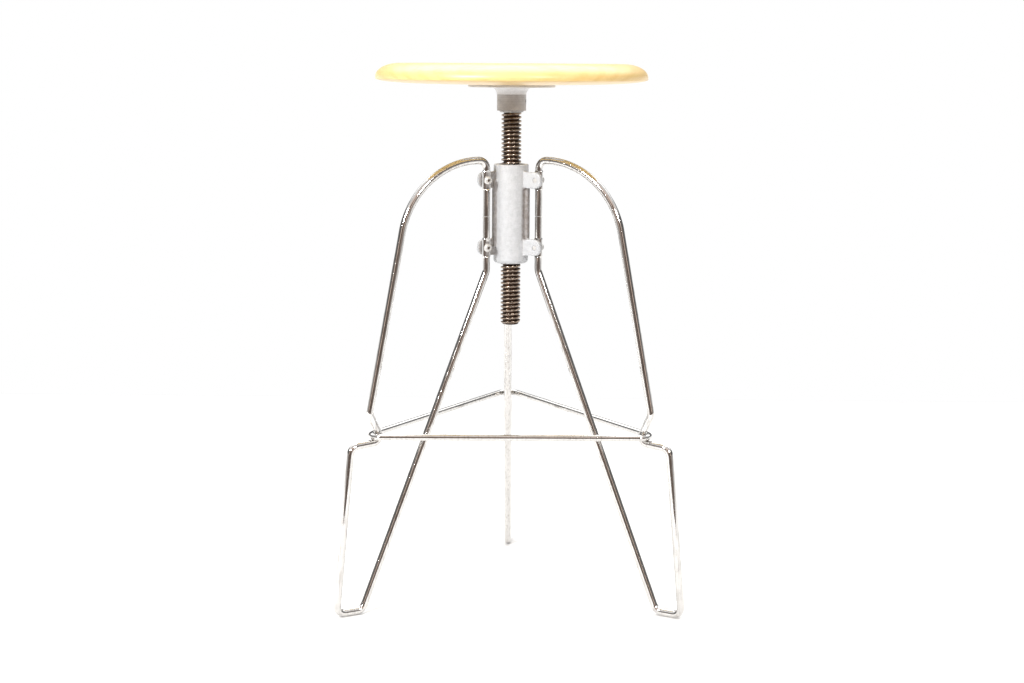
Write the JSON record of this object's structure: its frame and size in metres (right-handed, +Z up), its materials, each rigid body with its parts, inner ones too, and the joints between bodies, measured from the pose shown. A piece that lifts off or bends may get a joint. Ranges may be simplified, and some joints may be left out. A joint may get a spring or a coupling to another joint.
{
  "type": "screw-adjustable bar stool",
  "caption": "Bar stool with a round wooden seat on a threaded spindle, a cast hub, open bent-rod legs and a triangular rod footrest; turning the seat sets its height.",
  "frame": {"origin": "on the floor, under the middle of the stool's box at rest", "axes": "+Z up along the spindle, +Y towards the back leg, +X to the right as seen from the front"},
  "size_m": [0.438, 0.4236, 0.6842],
  "materials": {
    "seat_wood": "clear satin lacquer",
    "cast_plate": "cast, boss turned",
    "cast_hub": "sand cast",
    "dark_steel": "oiled",
    "bronze": "oiled",
    "chrome_rod": "bright plate",
    "bright_steel": "zinc plate",
    "black_steel": "black oxide"
  },
  "bodies": {
    "base": {"hub": "cast_hub", "upper_bush": "bronze", "lower_bush": "bronze", "leg_back": "chrome_rod", "leg_front_left": "chrome_rod", "leg_front_right": "chrome_rod", "footrest_ring": "chrome_rod", "clamp_screw_back_upper": "bright_steel", "clamp_screw_back_lower": "bright_steel", "clamp_screw_front_left_upper": "bright_steel", "clamp_screw_front_left_lower": "bright_steel", "clamp_screw_front_right_upper": "bright_steel", "clamp_screw_front_right_lower": "bright_steel"},
    "lift": {"stop_washer": "bright_steel"},
    "seat": {"seat": "seat_wood", "seat_plate": "cast_plate", "spindle_set_screw": "black_steel", "spindle": "dark_steel", "seat_screw_1": "bright_steel", "seat_screw_2": "bright_steel", "seat_screw_3": "bright_steel", "seat_screw_4": "bright_steel"}
  },
  "joints": [
    {"name": "seat_lift", "type": "slide", "parent": "base", "child": "lift", "axis": [0, 0, 1], "range_m": [-0.0646, 0.0763]},
    {"name": "seat_turn", "type": "hinge", "parent": "lift", "child": "seat", "pos_m": [-0.00225, -0.04035, 0.6254], "axis": [0, 0, 1], "range_deg": [-4570, 5400]}
  ],
  "couplings": [
    {"joint": "seat_lift", "follows": "seat_turn", "m_per_rad": 0.00080851}
  ]
}
